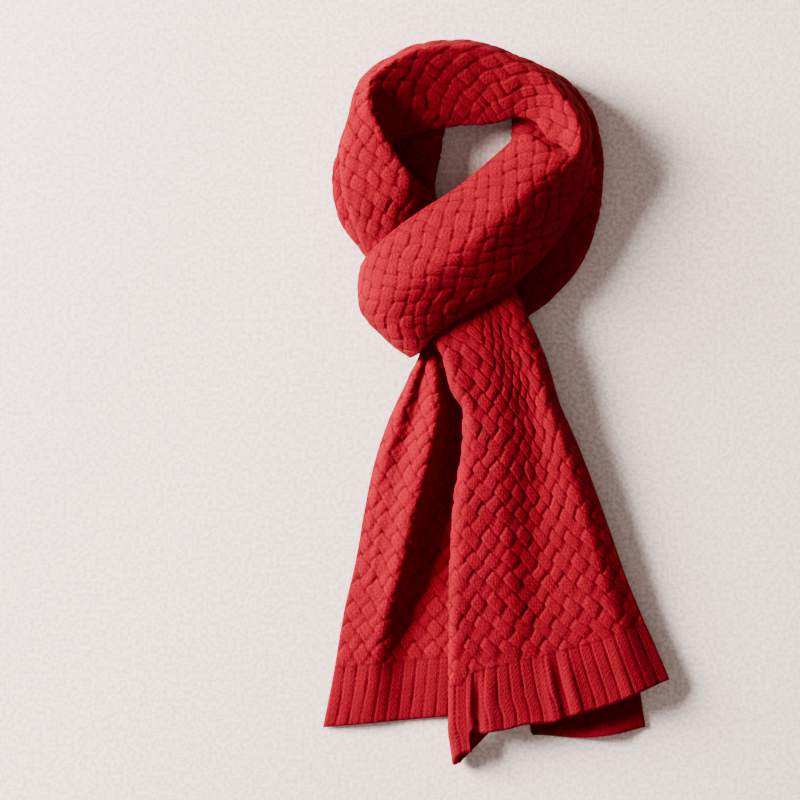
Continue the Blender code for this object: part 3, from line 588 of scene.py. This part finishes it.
def zipped(fine, coarse, marks):
    """Triangles between a fine line of vertices and a coarse one that follows it."""
    faces = []
    for step in range(len(coarse) - 1):
        start, end = marks[step], marks[step + 1]
        middle = (start + end + 1) // 2
        for index in range(start, end):
            near = coarse[step] if index < middle else coarse[step + 1]
            faces.append((fine[index], fine[index + 1], near))
        faces.append((coarse[step], fine[middle], coarse[step + 1]))
    return faces


def grid_quads(rows, columns, offset, wrap):
    """Quads over a grid of vertices; wrap joins the last column to the first."""
    row, column = np.meshgrid(np.arange(rows - 1), np.arange(columns - (not wrap)),
                              indexing="ij")
    following = (column + 1) % columns
    quads = np.stack((row * columns + column, row * columns + following,
                      (row + 1) * columns + following, (row + 1) * columns + column), axis=-1)
    return (quads.reshape(-1, 4) + offset).tolist()


def cloth_shell(name, outer, inner, row_marks, column_marks, lay, painted_light, wrap, material):
    """A closed thin shell: the fine outer face, the coarse inner one and their rims."""
    rows, columns = outer.shape[:2]
    back = inner[np.ix_(row_marks, column_marks)]
    outer_ids = np.arange(rows * columns).reshape(rows, columns)
    inner_count = back.shape[0] * back.shape[1]
    inner_ids = rows * columns + np.arange(inner_count).reshape(back.shape[:2])
    groups = [grid_quads(rows, columns, 0, wrap),
              [quad[::-1] for quad in grid_quads(*back.shape[:2], rows * columns, wrap)]]
    for end in (0, -1):
        fine, coarse, marks = list(outer_ids[end]), list(inner_ids[end]), list(column_marks)
        if wrap:
            fine.append(fine[0])
            coarse.append(coarse[0])
            marks.append(columns)
        groups.append(zipped(fine, coarse, marks))
    if not wrap:
        for side in (0, -1):
            groups.append(zipped(list(outer_ids[:, side]), list(inner_ids[:, side]),
                                 list(row_marks)))
    points = np.vstack((outer.reshape(-1, 3), back.reshape(-1, 3))) * MM
    points[:, 2] = np.maximum(points[:, 2], 0.0)
    mesh = bpy.data.meshes.new(name)
    mesh.from_pydata(points.tolist(), [], [tuple(int(corner) for corner in face)
                                           for faces in groups for face in faces])
    made_outwards(mesh)
    mark_sharp_rims(mesh, rows, columns, wrap)
    picked = np.ix_(row_marks, column_marks)
    lay_all = [np.concatenate((part.ravel(), part[picked].ravel())) for part in lay]
    # The inner face gets a lower painted light: painted shade on the cloth's underside.
    open_all = np.concatenate((painted_light.ravel(), np.full(inner_count, INNER_FACE_PAINTED_LIGHT)))
    group_of_face = np.repeat(np.arange(len(groups)), [len(faces) for faces in groups])
    add_maps(mesh, lay_all, open_all, (rows, columns), (row_marks, column_marks), wrap,
             group_of_face)
    mesh.materials.append(material)
    return added(name, mesh)


def made_outwards(mesh):
    """All faces turned to look out of the shell."""
    work = bmesh.new()
    work.from_mesh(mesh)
    bmesh.ops.recalc_face_normals(work, faces=work.faces[:])
    if work.calc_volume(signed=True) < 0:
        bmesh.ops.reverse_faces(work, faces=work.faces[:])
    work.to_mesh(mesh)
    work.free()
    mesh.shade_smooth()


def mark_sharp_rims(mesh, rows, columns, wrap):
    """The cut ends of a shell keep a crisp line."""
    ends = np.zeros(len(mesh.edges) * 2, np.int32)
    mesh.edges.foreach_get("vertices", ends)
    ends = ends.reshape(-1, 2)
    on_outer = (ends < rows * columns).all(axis=1)
    row = ends // columns
    sharp = on_outer & (row[:, 0] == row[:, 1]) & ((row[:, 0] == 0) | (row[:, 0] == rows - 1))
    mesh.edges.foreach_set("use_edge_sharp", sharp)


def add_maps(mesh, lay, painted_light, shape, marks, wrap, group_of_face):
    """The cloth's own coordinates, a flat map for baking, and the painted light of each place,
    which puts painted shade into the knit's gaps and on the inner face.
    """
    rows, columns = shape
    row_marks, column_marks = marks
    corners = np.zeros(len(mesh.loops), np.int32)
    mesh.loops.foreach_get("vertex_index", corners)
    starts = np.zeros(len(mesh.polygons), np.int32)
    mesh.polygons.foreach_get("loop_start", starts)
    sizes = np.diff(np.append(starts, len(corners)))
    group = np.repeat(group_of_face, sizes)

    row_at = np.concatenate((np.repeat(np.arange(rows), columns),
                             np.repeat(row_marks, len(column_marks)))) / (rows - 1)
    column_at = np.concatenate((np.tile(np.arange(columns), rows),
                                np.tile(column_marks, len(row_marks))))
    column_at = column_at / (columns if wrap else columns - 1)
    u, v = column_at[corners], row_at[corners]
    # A ring's closing faces run on past its last column.
    if wrap:
        closing = np.repeat(np.maximum.reduceat(u, starts), sizes) - u > 0.5
        u = np.where(closing, u + 1.0, u)
    # Groups 0 and 1 are the outer and the inner face, 2 and 3 the rims at the ends, and 4
    # and 5 the rims at the sides. Each has a strip of the baking map of its own.
    inner_corner = corners >= rows * columns
    along = np.where(group < 4, u, v)
    rim_low = RIM_FROM + RIM_STEP * (group - 2)
    flat_v = np.select((group == 0, group == 1), (OUTER_HIGH * v, INNER_FROM + INNER_HIGH * v),
                       rim_low + RIM_HIGH * inner_corner)
    bake = mesh.uv_layers.new(name="OFBake")
    bake.data.foreach_set("uv", np.column_stack((along, flat_v)).ravel())
    for title, first, second in (("Weave", lay[0], lay[1]), ("Strand", lay[2], lay[3])):
        layer = mesh.uv_layers.new(name=title)
        places = np.column_stack((first, second)) / MAP_SPAN
        layer.data.foreach_set("uv", places[corners].ravel())
    # The painted light goes on as an attribute that the material turns into painted shade.
    attribute = mesh.attributes.new("painted_light", "FLOAT", "POINT")
    attribute.data.foreach_set("value", painted_light.astype(np.float32))


def marks_every(count, step):
    """Every so many of a row of places, with its first and last."""
    picked = list(range(0, count - 1, step))
    if count - 1 - picked[-1] < step // 2 and len(picked) > 1:
        picked.pop()
    return np.array(picked + [count - 1])


def steps_between(nodes, lengths, spacings):
    """Fractional node places along a section, closer where the spacing is finer."""
    places = [np.array([float(nodes[0])])]
    for low, high, length, spacing in zip(nodes, nodes[1:], lengths, spacings):
        count = max(int(round(length / spacing)), 2)
        places.append(np.linspace(low, high, count + 1)[1:])
    return np.concatenate(places)


# ------------------------------------ materials
def set_inputs(node, values):
    for name, value in values.items():
        node.inputs[name].default_value = value


def new_node(tree, kind, inputs=None, **settings):
    """A shader node with its settings and the values of its inputs."""
    node = tree.nodes.new(kind)
    for name, value in settings.items():
        setattr(node, name, value)
    set_inputs(node, inputs or {})
    return node


def colour_ramp(tree, low_at, low, high_at, high):
    ramp = new_node(tree, "ShaderNodeValToRGB")
    for element, place, colour in zip(ramp.color_ramp.elements, (low_at, high_at), (low, high)):
        element.position = place
        element.color = colour
    return ramp


def knit_material(name, bright, shade_colour, wale_pitch):
    """Soft red wool: painted shade in the openings, fine stitches along each strand, fuzz."""
    material = bpy.data.materials.new(name)
    material.use_nodes = True
    tree = material.node_tree
    link = tree.links.new
    shader = tree.nodes["Principled BSDF"]
    set_inputs(shader, {"Metallic": 0.0, "Specular IOR Level": 0.05, "Sheen Weight": 0.08,
                        "Sheen Roughness": 0.42, "Sheen Tint": (1.0, 0.09, 0.12, 1.0),
                        "Roughness": 0.95})

    painted_light = new_node(tree, "ShaderNodeAttribute", attribute_name="painted_light")
    cloth = new_node(tree, "ShaderNodeUVMap", uv_map="Weave")
    strand_map = new_node(tree, "ShaderNodeUVMap", uv_map="Strand")
    # Fibres are drawn out along the strands.
    stretch = new_node(tree, "ShaderNodeMapping", {"Scale": (105.0, 30.0, 1.0)})
    link(strand_map.outputs["UV"], stretch.inputs["Vector"])
    fibres = new_node(tree, "ShaderNodeTexNoise", noise_dimensions="2D",
                      inputs={"Scale": 1.0, "Detail": 4.0, "Roughness": 0.62, "Distortion": 0.8})
    link(stretch.outputs["Vector"], fibres.inputs["Vector"])
    split = new_node(tree, "ShaderNodeSeparateXYZ")
    link(strand_map.outputs["UV"], split.inputs["Vector"])

    def scaled(source, factor, added=None):
        """The source times a factor, plus another output where one is given."""
        kind = "MULTIPLY" if added is None else "MULTIPLY_ADD"
        result = new_node(tree, "ShaderNodeMath", {1: factor}, operation=kind)
        link(source, result.inputs[0])
        if added is not None:
            link(added, result.inputs[2])
        return result.outputs["Value"]

    def wave(source, pitch, shift=None):
        """A cosine that repeats every pitch mm, shifted by another output."""
        turned = new_node(tree, "ShaderNodeMath", operation="COSINE")
        link(scaled(source, MAP_SPAN / pitch * 2 * math.pi, shift), turned.inputs[0])
        return turned.outputs["Value"]

    # Columns of V-shaped stitches, whose rows bend from one column to the next.
    wales = wave(split.outputs["X"], wale_pitch)
    stitches = wave(split.outputs["Y"], STITCH_PITCH, scaled(wales, 1.9))
    knit_height = scaled(stitches, 0.10, scaled(wales, 0.07, fibres.outputs["Fac"]))
    patches = new_node(tree, "ShaderNodeTexNoise", {"Scale": 3.2, "Detail": 2.0},
                       noise_dimensions="2D")
    link(cloth.outputs["UV"], patches.inputs["Vector"])

    # Painted shade: the colour falls from the wool's to the shade colour where the painted light
    # is low.
    ramp = colour_ramp(tree, 0.0, shade_colour, 0.85, bright)
    link(painted_light.outputs["Fac"], ramp.inputs["Fac"])
    # The colour also follows the stitches' height: painted shade in their grooves and painted
    # light on their tops, with fibre tone and slow patches of tone mixed in.
    both = new_node(tree, "ShaderNodeMath", operation="MULTIPLY")
    for place, source, low, high in ((0, knit_height, 0.80, 1.16),
                                     (1, patches.outputs["Fac"], 0.93, 1.06)):
        vary = new_node(tree, "ShaderNodeMapRange", {"From Min": 0.30, "From Max": 0.70,
                                                     "To Min": low, "To Max": high})
        link(source, vary.inputs["Value"])
        link(vary.outputs["Result"], both.inputs[place])
    tint = new_node(tree, "ShaderNodeMix", {"Factor": 1.0}, data_type="RGBA",
                    blend_type="MULTIPLY")
    link(ramp.outputs["Color"], tint.inputs[6])
    link(both.outputs["Value"], tint.inputs[7])
    link(tint.outputs[2], shader.inputs["Base Color"])

    bump = new_node(tree, "ShaderNodeBump", {"Strength": 0.75, "Distance": 0.0011})
    link(knit_height, bump.inputs["Height"])
    link(bump.outputs["Normal"], shader.inputs["Normal"])
    return material


# The wool's colours, and the painted shade colours of its gaps and inner faces.
WOOL_BRIGHT = (0.170, 0.0006, 0.0085, 1.0)
WOOL_PAINTED_SHADE = (0.040, 0.0002, 0.0012, 1.0)
RIB_BRIGHT = (0.150, 0.0006, 0.0078, 1.0)
RIB_PAINTED_SHADE = (0.036, 0.0002, 0.0012, 1.0)
knit = knit_material("red_wool_cable", WOOL_BRIGHT, WOOL_PAINTED_SHADE, WALE_PITCH)
rib_knit = knit_material("red_wool_rib", RIB_BRIGHT, RIB_PAINTED_SHADE, RIB_WALE_PITCH)


# ------------------------------------ the neck loop
def neck_shell(name, sections, eased):
    """A hollow wound length of cloth from its sections' upper and lower faces."""
    upper = np.array([section[0] for section in sections])
    lower = np.array([section[1] for section in sections])
    upper = blurred(upper, 0, eased)
    lower = blurred(lower, 0, eased)
    travel = travel_along(upper[:, SECTION_POINTS // 2])
    places = np.interp(np.arange(0.0, travel[-1], FINE), travel, np.arange(len(travel)))
    upper = resample(upper, places, 0)
    lower = resample(lower, places, 0)
    width = np.linalg.norm(np.diff(upper, axis=1), axis=2).sum(axis=1).max()
    fine = np.linspace(0, SECTION_POINTS - 1, int(width / FINE))
    under = np.linspace(SECTION_POINTS - 1, 0, 14)
    top = resample(upper, fine, 1)
    bottom = resample(lower, under, 1)
    ring = np.concatenate((top, bottom), axis=1)
    partner = np.concatenate((resample(lower, fine, 1), resample(upper, under, 1)), axis=1)
    ring = blurred(ring, 1, 2, wrap=True)
    towards = partner - ring
    gap = np.linalg.norm(towards, axis=2, keepdims=True)
    inside = ring + unit(towards) * np.minimum(SKIN, 0.4 * gap)
    columns = ring.shape[1]
    round_it = np.roll(ring, -1, 1) - np.roll(ring, 1, 1)
    along = np.gradient(ring, axis=0)
    normal = unit(np.cross(round_it, along))
    centre = ring.mean(axis=1, keepdims=True)
    if ((ring - centre) * normal).sum(axis=2).mean() < 0:
        normal = -normal
    normal = unit(blurred(normal, 0, 2))
    a = travel_across(ring)
    anchor = len(fine) // 2
    a = a - a[:, anchor:anchor + 1]
    b = np.broadcast_to(travel_along(ring[:, anchor])[:, None], a.shape)
    a = a + NECK_DRIFT * rolling_noise(a, b, ACROSS_SEED)
    b = b + NECK_DRIFT * rolling_noise(a, b, ALONG_SEED)
    relief, painted_light, across, run = basket(a, b)
    # The relief fades out towards the underside, and where the rows crowd together.
    from_start = np.arange(len(fine))
    shown = np.zeros(columns)
    shown[:len(fine)] = smoothstep(np.minimum(from_start, from_start[::-1]), 2, 9)
    relief = relief * shown
    painted_light = PLAIN_PAINTED_LIGHT + (painted_light - PLAIN_PAINTED_LIGHT) * shown
    spread = np.linalg.norm(along, axis=2) / FINE
    relief = relief * smoothstep(spread, 0.35, 0.8)
    lumps = NECK_LUMPS * rolling_noise(a, b, LUMP_SEED)
    outer = ring + normal * (relief + lumps)[..., None]
    row_marks = marks_every(len(ring), INNER_EVERY)
    column_marks = np.concatenate((np.arange(0, len(fine), INNER_EVERY),
                                   np.arange(len(fine) + 1, columns, 2)))
    lay = (a, b, across, run)
    return cloth_shell(name, outer, inside, row_marks, column_marks, lay, painted_light, True, knit)


under = [under_section(row) for row in smooth_rows(UNDER_ROWS, NECK_STEPS)]
neck_under = neck_shell("neck_under_cloth", under, 3)

over = [over_section(row) for row in smooth_rows(OVER_ROWS, NECK_STEPS)]
band = [band_section(row) for row in smooth_rows(BAND_ROWS, NECK_STEPS)]
neck_over = neck_shell("neck_over_cloth", over[:-1] + band, 4)


# ------------------------------------ the tails
def tail_grid(columns, rows, midline_of, nodes, spacings):
    """The tail's dense midline, with its columns' places in the section's nodes and its
    rows' places in the table."""
    coarse = smooth_rows(rows, TAIL_STEPS)
    sections = np.array([midline_of(dict(zip(columns, row)), index / TAIL_STEPS)
                         for index, row in enumerate(coarse)])
    sections = blurred(sections, 0, 3)
    along = travel_along(sections[:, nodes[-2] // 2 + nodes[-1] // 2])
    places = np.interp(np.arange(0.0, along[-1] + 0.01, FINE), along, np.arange(len(along)))
    steps = np.linalg.norm(np.diff(sections, axis=1), axis=2)
    lengths = [steps[:, low:high].sum(axis=1).max() for low, high in zip(nodes, nodes[1:])]
    grid = resample(sections, places, 0)
    across_places = steps_between(nodes, lengths, spacings)
    grid = resample(grid, across_places, 1)
    return grid, across_places, places / TAIL_STEPS


def tail_shells(names, grid, row_places, rib_row, a, weave_b, top_from, relief_at):
    """The tail's cabled body and its ribbed end, cut from one continuous cloth."""
    normal = unit(np.cross(np.gradient(grid, axis=0), np.gradient(grid, axis=1)))
    if normal[:, top_from, 2].mean() < 0:
        normal = -normal
    b = np.broadcast_to(b_from(grid, top_from, row_places, rib_row)[:, None], a.shape)
    edge = np.minimum(travel_across(grid), travel_across(grid[:, ::-1])[:, ::-1])
    end = b - b.min()
    # The cloth is rounded off at its free edges.
    rim = np.clip(np.minimum(edge, end) / (WALL * 0.6), 0.0, 1.0)
    half = WALL / 2 * np.sqrt(np.maximum(1.0 - (1.0 - rim) ** 2, 0.01))
    cut = int(np.argmin(np.abs(row_places - rib_row)))
    wobble_a = a + TAIL_DRIFT_ACROSS * rolling_noise(a, b, ACROSS_SEED)
    wobble_b = weave_b + TAIL_DRIFT_ALONG * rolling_noise(a, b, ALONG_SEED)
    cable, cable_painted_light, across, run = basket(wobble_a, wobble_b)
    rib_a = np.where(b > 0.0, a, a[cut]) + RIB_DRIFT * rolling_noise(a, b, RIB_SEED)
    rib, rib_painted_light, rib_across = ribs(rib_a)
    across = np.where(b > 0.0, across, rib_across)
    run = np.where(b > 0.0, run, b)
    share = smoothstep(b, -1.5, 1.5)
    relief = (cable * share + rib * (1.0 - share)) * relief_at * smoothstep(rim, 0.1, 1.0)
    painted_light = cable_painted_light * share + rib_painted_light * (1.0 - share)
    painted_light = PLAIN_PAINTED_LIGHT + (painted_light - PLAIN_PAINTED_LIGHT) * relief_at
    lumps = TAIL_LUMPS * rolling_noise(a, b, LUMP_SEED)
    outer = grid + normal * (half + relief + lumps)[..., None]
    inner = grid - normal * half[..., None]
    shells = []
    for name, rows, material in ((names[0], slice(0, cut + 1), knit),
                                 (names[1], slice(cut, len(grid)), rib_knit)):
        part = outer[rows]
        row_marks = marks_every(len(part), INNER_EVERY)
        column_marks = marks_every(part.shape[1], INNER_EVERY)
        lay = (a[rows], b[rows], across[rows], run[rows])
        shells.append(cloth_shell(name, part, inner[rows], row_marks, column_marks, lay,
                                  painted_light[rows], False, material))
    return shells


def b_from(grid, column, row_places, rib_row):
    """Distance from the ribbed end's seam, up the tail, in mm."""
    travel = travel_along(grid[:, column])
    seam = np.interp(rib_row, row_places, travel)
    return seam - travel


# The grid of each stretch of a section, from node to node, in mm.
BACK_SPACINGS = (1.1, 1.8, COARSE, 2.2, 1.6)
back_grid, back_across, back_rows = tail_grid(
    BACK_COLUMNS, BACK_ROWS, lambda cell, index: back_midline(cell), BACK_NODES, BACK_SPACINGS)
back_top = back_across <= BACK_NODES[1]
back_relief = np.where(back_across <= BACK_NODES[2], 1.0, 0.0)
back_relief = np.where(back_across >= BACK_NODES[4], 0.8, back_relief)
back_tail, back_rib = tail_shells(
    ("back_tail_cloth", "back_tail_rib_cloth"), back_grid, back_rows, BACK_RIB_FROM,
    travel_across(back_grid), back_grid[..., 1] - 0.05 * back_grid[..., 0],
    int(back_top.sum() // 3), back_relief)

# What the front tail lies on: the back tail's top layer.
picked_rows = np.arange(0, len(back_grid), 3)
picked_columns = np.arange(0, int(back_top.sum()), 4)
top_sheet = back_grid[np.ix_(picked_rows, picked_columns)] + (0.0, 0.0, WALL / 2)
quads = grid_quads(len(picked_rows), len(picked_columns), 0, False)
sheet_tree = BVHTree.FromPolygons([tuple(corner) for corner in top_sheet.reshape(-1, 3)], quads)
height_at = surface_below(sheet_tree)


def front_section(cell, index):
    """The front tail's section at a place in its table; pleats grow in where its rib begins."""
    return front_midline(cell, height_at, float(smoothstep(index, 10.6, 12.0)))


FRONT_SPACINGS = (COARSE, FINE, FINE)
TUBE_DEPTH = 9.0
GATHER = 0.22
GATHER_LEAN = 26.0
front_grid, front_across, front_rows = tail_grid(
    FRONT_COLUMNS, FRONT_ROWS, front_section, FRONT_NODES, FRONT_SPACINGS)
# The rolled fold ends in an open tube, whose underside reaches further than its top.
tube_end = smoothstep(front_rows, 12.1, 13.0)[:, None] * smoothstep(front_grid[..., 2], 9.0, 17.0)
tube_end = tube_end * (1.0 - smoothstep(front_grid[..., 0], -22.0, -8.0))
front_grid[..., 1] += TUBE_DEPTH * tube_end
front_a = travel_across(front_grid)
front_a = front_a - front_a[:, -1:]
# Towards the knot the cloth is gathered, so its weave runs closer and leans to one side.
up_tail = 1.0 - smoothstep(front_rows, 3.0, 10.0)
share_across = np.clip((front_across - FRONT_NODES[2]) / (FRONT_NODES[3] - FRONT_NODES[2]), 0, 1)
squeeze = 1.0 - smoothstep(share_across, 0.35, 0.85)
front_a = (front_a * (1.0 + GATHER * up_tail[:, None])
           - GATHER_LEAN * up_tail[:, None] * squeeze[None, :])
front_relief = smoothstep(front_across, FRONT_NODES[1] - 1.0, FRONT_NODES[1] + 4.0)
front_tail, front_rib = tail_shells(
    ("front_tail_cloth", "front_tail_rib_cloth"), front_grid, front_rows, FRONT_RIB_FROM,
    front_a, front_grid[..., 1] + 0.03 * front_grid[..., 0],
    int((front_across < FRONT_NODES[2] + 30).sum()), front_relief)


# ------------------------------------ the pieces, which stand in for the model's nodes
# Each piece, the nodes that it replaces, its slot, its width and length laid flat in mm,
# and what it lies on.
SHEETS = (
    (neck_under, ("neck_under",), "red_knit", 130.0, 560.0, "floor"),
    (neck_over, ("neck_over", "knot_band"), "red_knit", 140.0, 760.0, "neck_under_cloth"),
    (back_tail, ("back_tail",), "red_knit", 350.0, 290.0, "floor"),
    (back_rib, ("back_tail_rib",), "red_rib", 375.0, 46.0, "floor"),
    (front_tail, ("front_tail",), "red_knit", 280.0, 290.0, "back_tail_cloth"),
    (front_rib, ("front_tail_rib",), "red_rib", 330.0, 50.0, "back_tail_rib_cloth"),
)
for piece, nodes, slot, width, length, below in SHEETS:
    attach(piece, "root")
    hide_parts(*nodes)


# ------------------------------------ the surface below
def felt_material():
    """Pale felt: a fine grain in its colour and its surface."""
    material = bpy.data.materials.new("pale_felt")
    material.use_nodes = True
    tree = material.node_tree
    link = tree.links.new
    shader = tree.nodes["Principled BSDF"]
    set_inputs(shader, {"Roughness": 0.95, "Specular IOR Level": 0.1})
    place = new_node(tree, "ShaderNodeTexCoord")
    grain = new_node(tree, "ShaderNodeTexNoise", {"Scale": 330.0, "Detail": 6.0, "Roughness": 0.6})
    link(place.outputs["Object"], grain.inputs["Vector"])
    ramp = colour_ramp(tree, 0.40, (0.74, 0.61, 0.56, 1.0), 0.58, (1.0, 0.85, 0.79, 1.0))
    link(grain.outputs["Fac"], ramp.inputs["Fac"])
    link(ramp.outputs["Color"], shader.inputs["Base Color"])
    bump = new_node(tree, "ShaderNodeBump", {"Strength": 0.6, "Distance": 0.0006})
    link(grain.outputs["Fac"], bump.inputs["Height"])
    link(bump.outputs["Normal"], shader.inputs["Normal"])
    return material


bpy.ops.mesh.primitive_plane_add(size=6.0, location=(0.0, 0.0, 0.0))
floor = bpy.context.object
floor.name = "floor"
floor.data.materials.append(felt_material())


# ------------------------------------ light and camera
def area_light(name, place, size, power, colour):
    """A square soft light that faces the middle of the table."""
    data = bpy.data.lights.new(name, "AREA")
    data.shape = "SQUARE"
    data.size = size
    data.energy = power
    data.color = colour
    light = added(name, data)
    light.location = place
    light.rotation_euler = (-light.location).to_track_quat("-Z", "Y").to_euler()


area_light("key", place=(-2.50, 0.92, 1.20), size=1.30, power=715.0, colour=(1.0, 0.92, 0.88))
area_light("fill", place=(0.6, -1.2, 2.6), size=3.0, power=9.0, colour=(1.0, 0.97, 0.95))

world = bpy.data.worlds.new("soft_room")
bpy.context.scene.world = world
world.use_nodes = True
set_inputs(world.node_tree.nodes["Background"],
           {"Color": (1.0, 0.84, 0.78, 1.0), "Strength": 0.265})

# The camera looks straight down.
camera_data = bpy.data.cameras.new("camera")
camera_data.lens = 150.0
camera_data.sensor_width = 36.0
camera = added("camera", camera_data)
camera.location = (-0.0716, 0.0026, 2.5)
bpy.context.scene.camera = camera
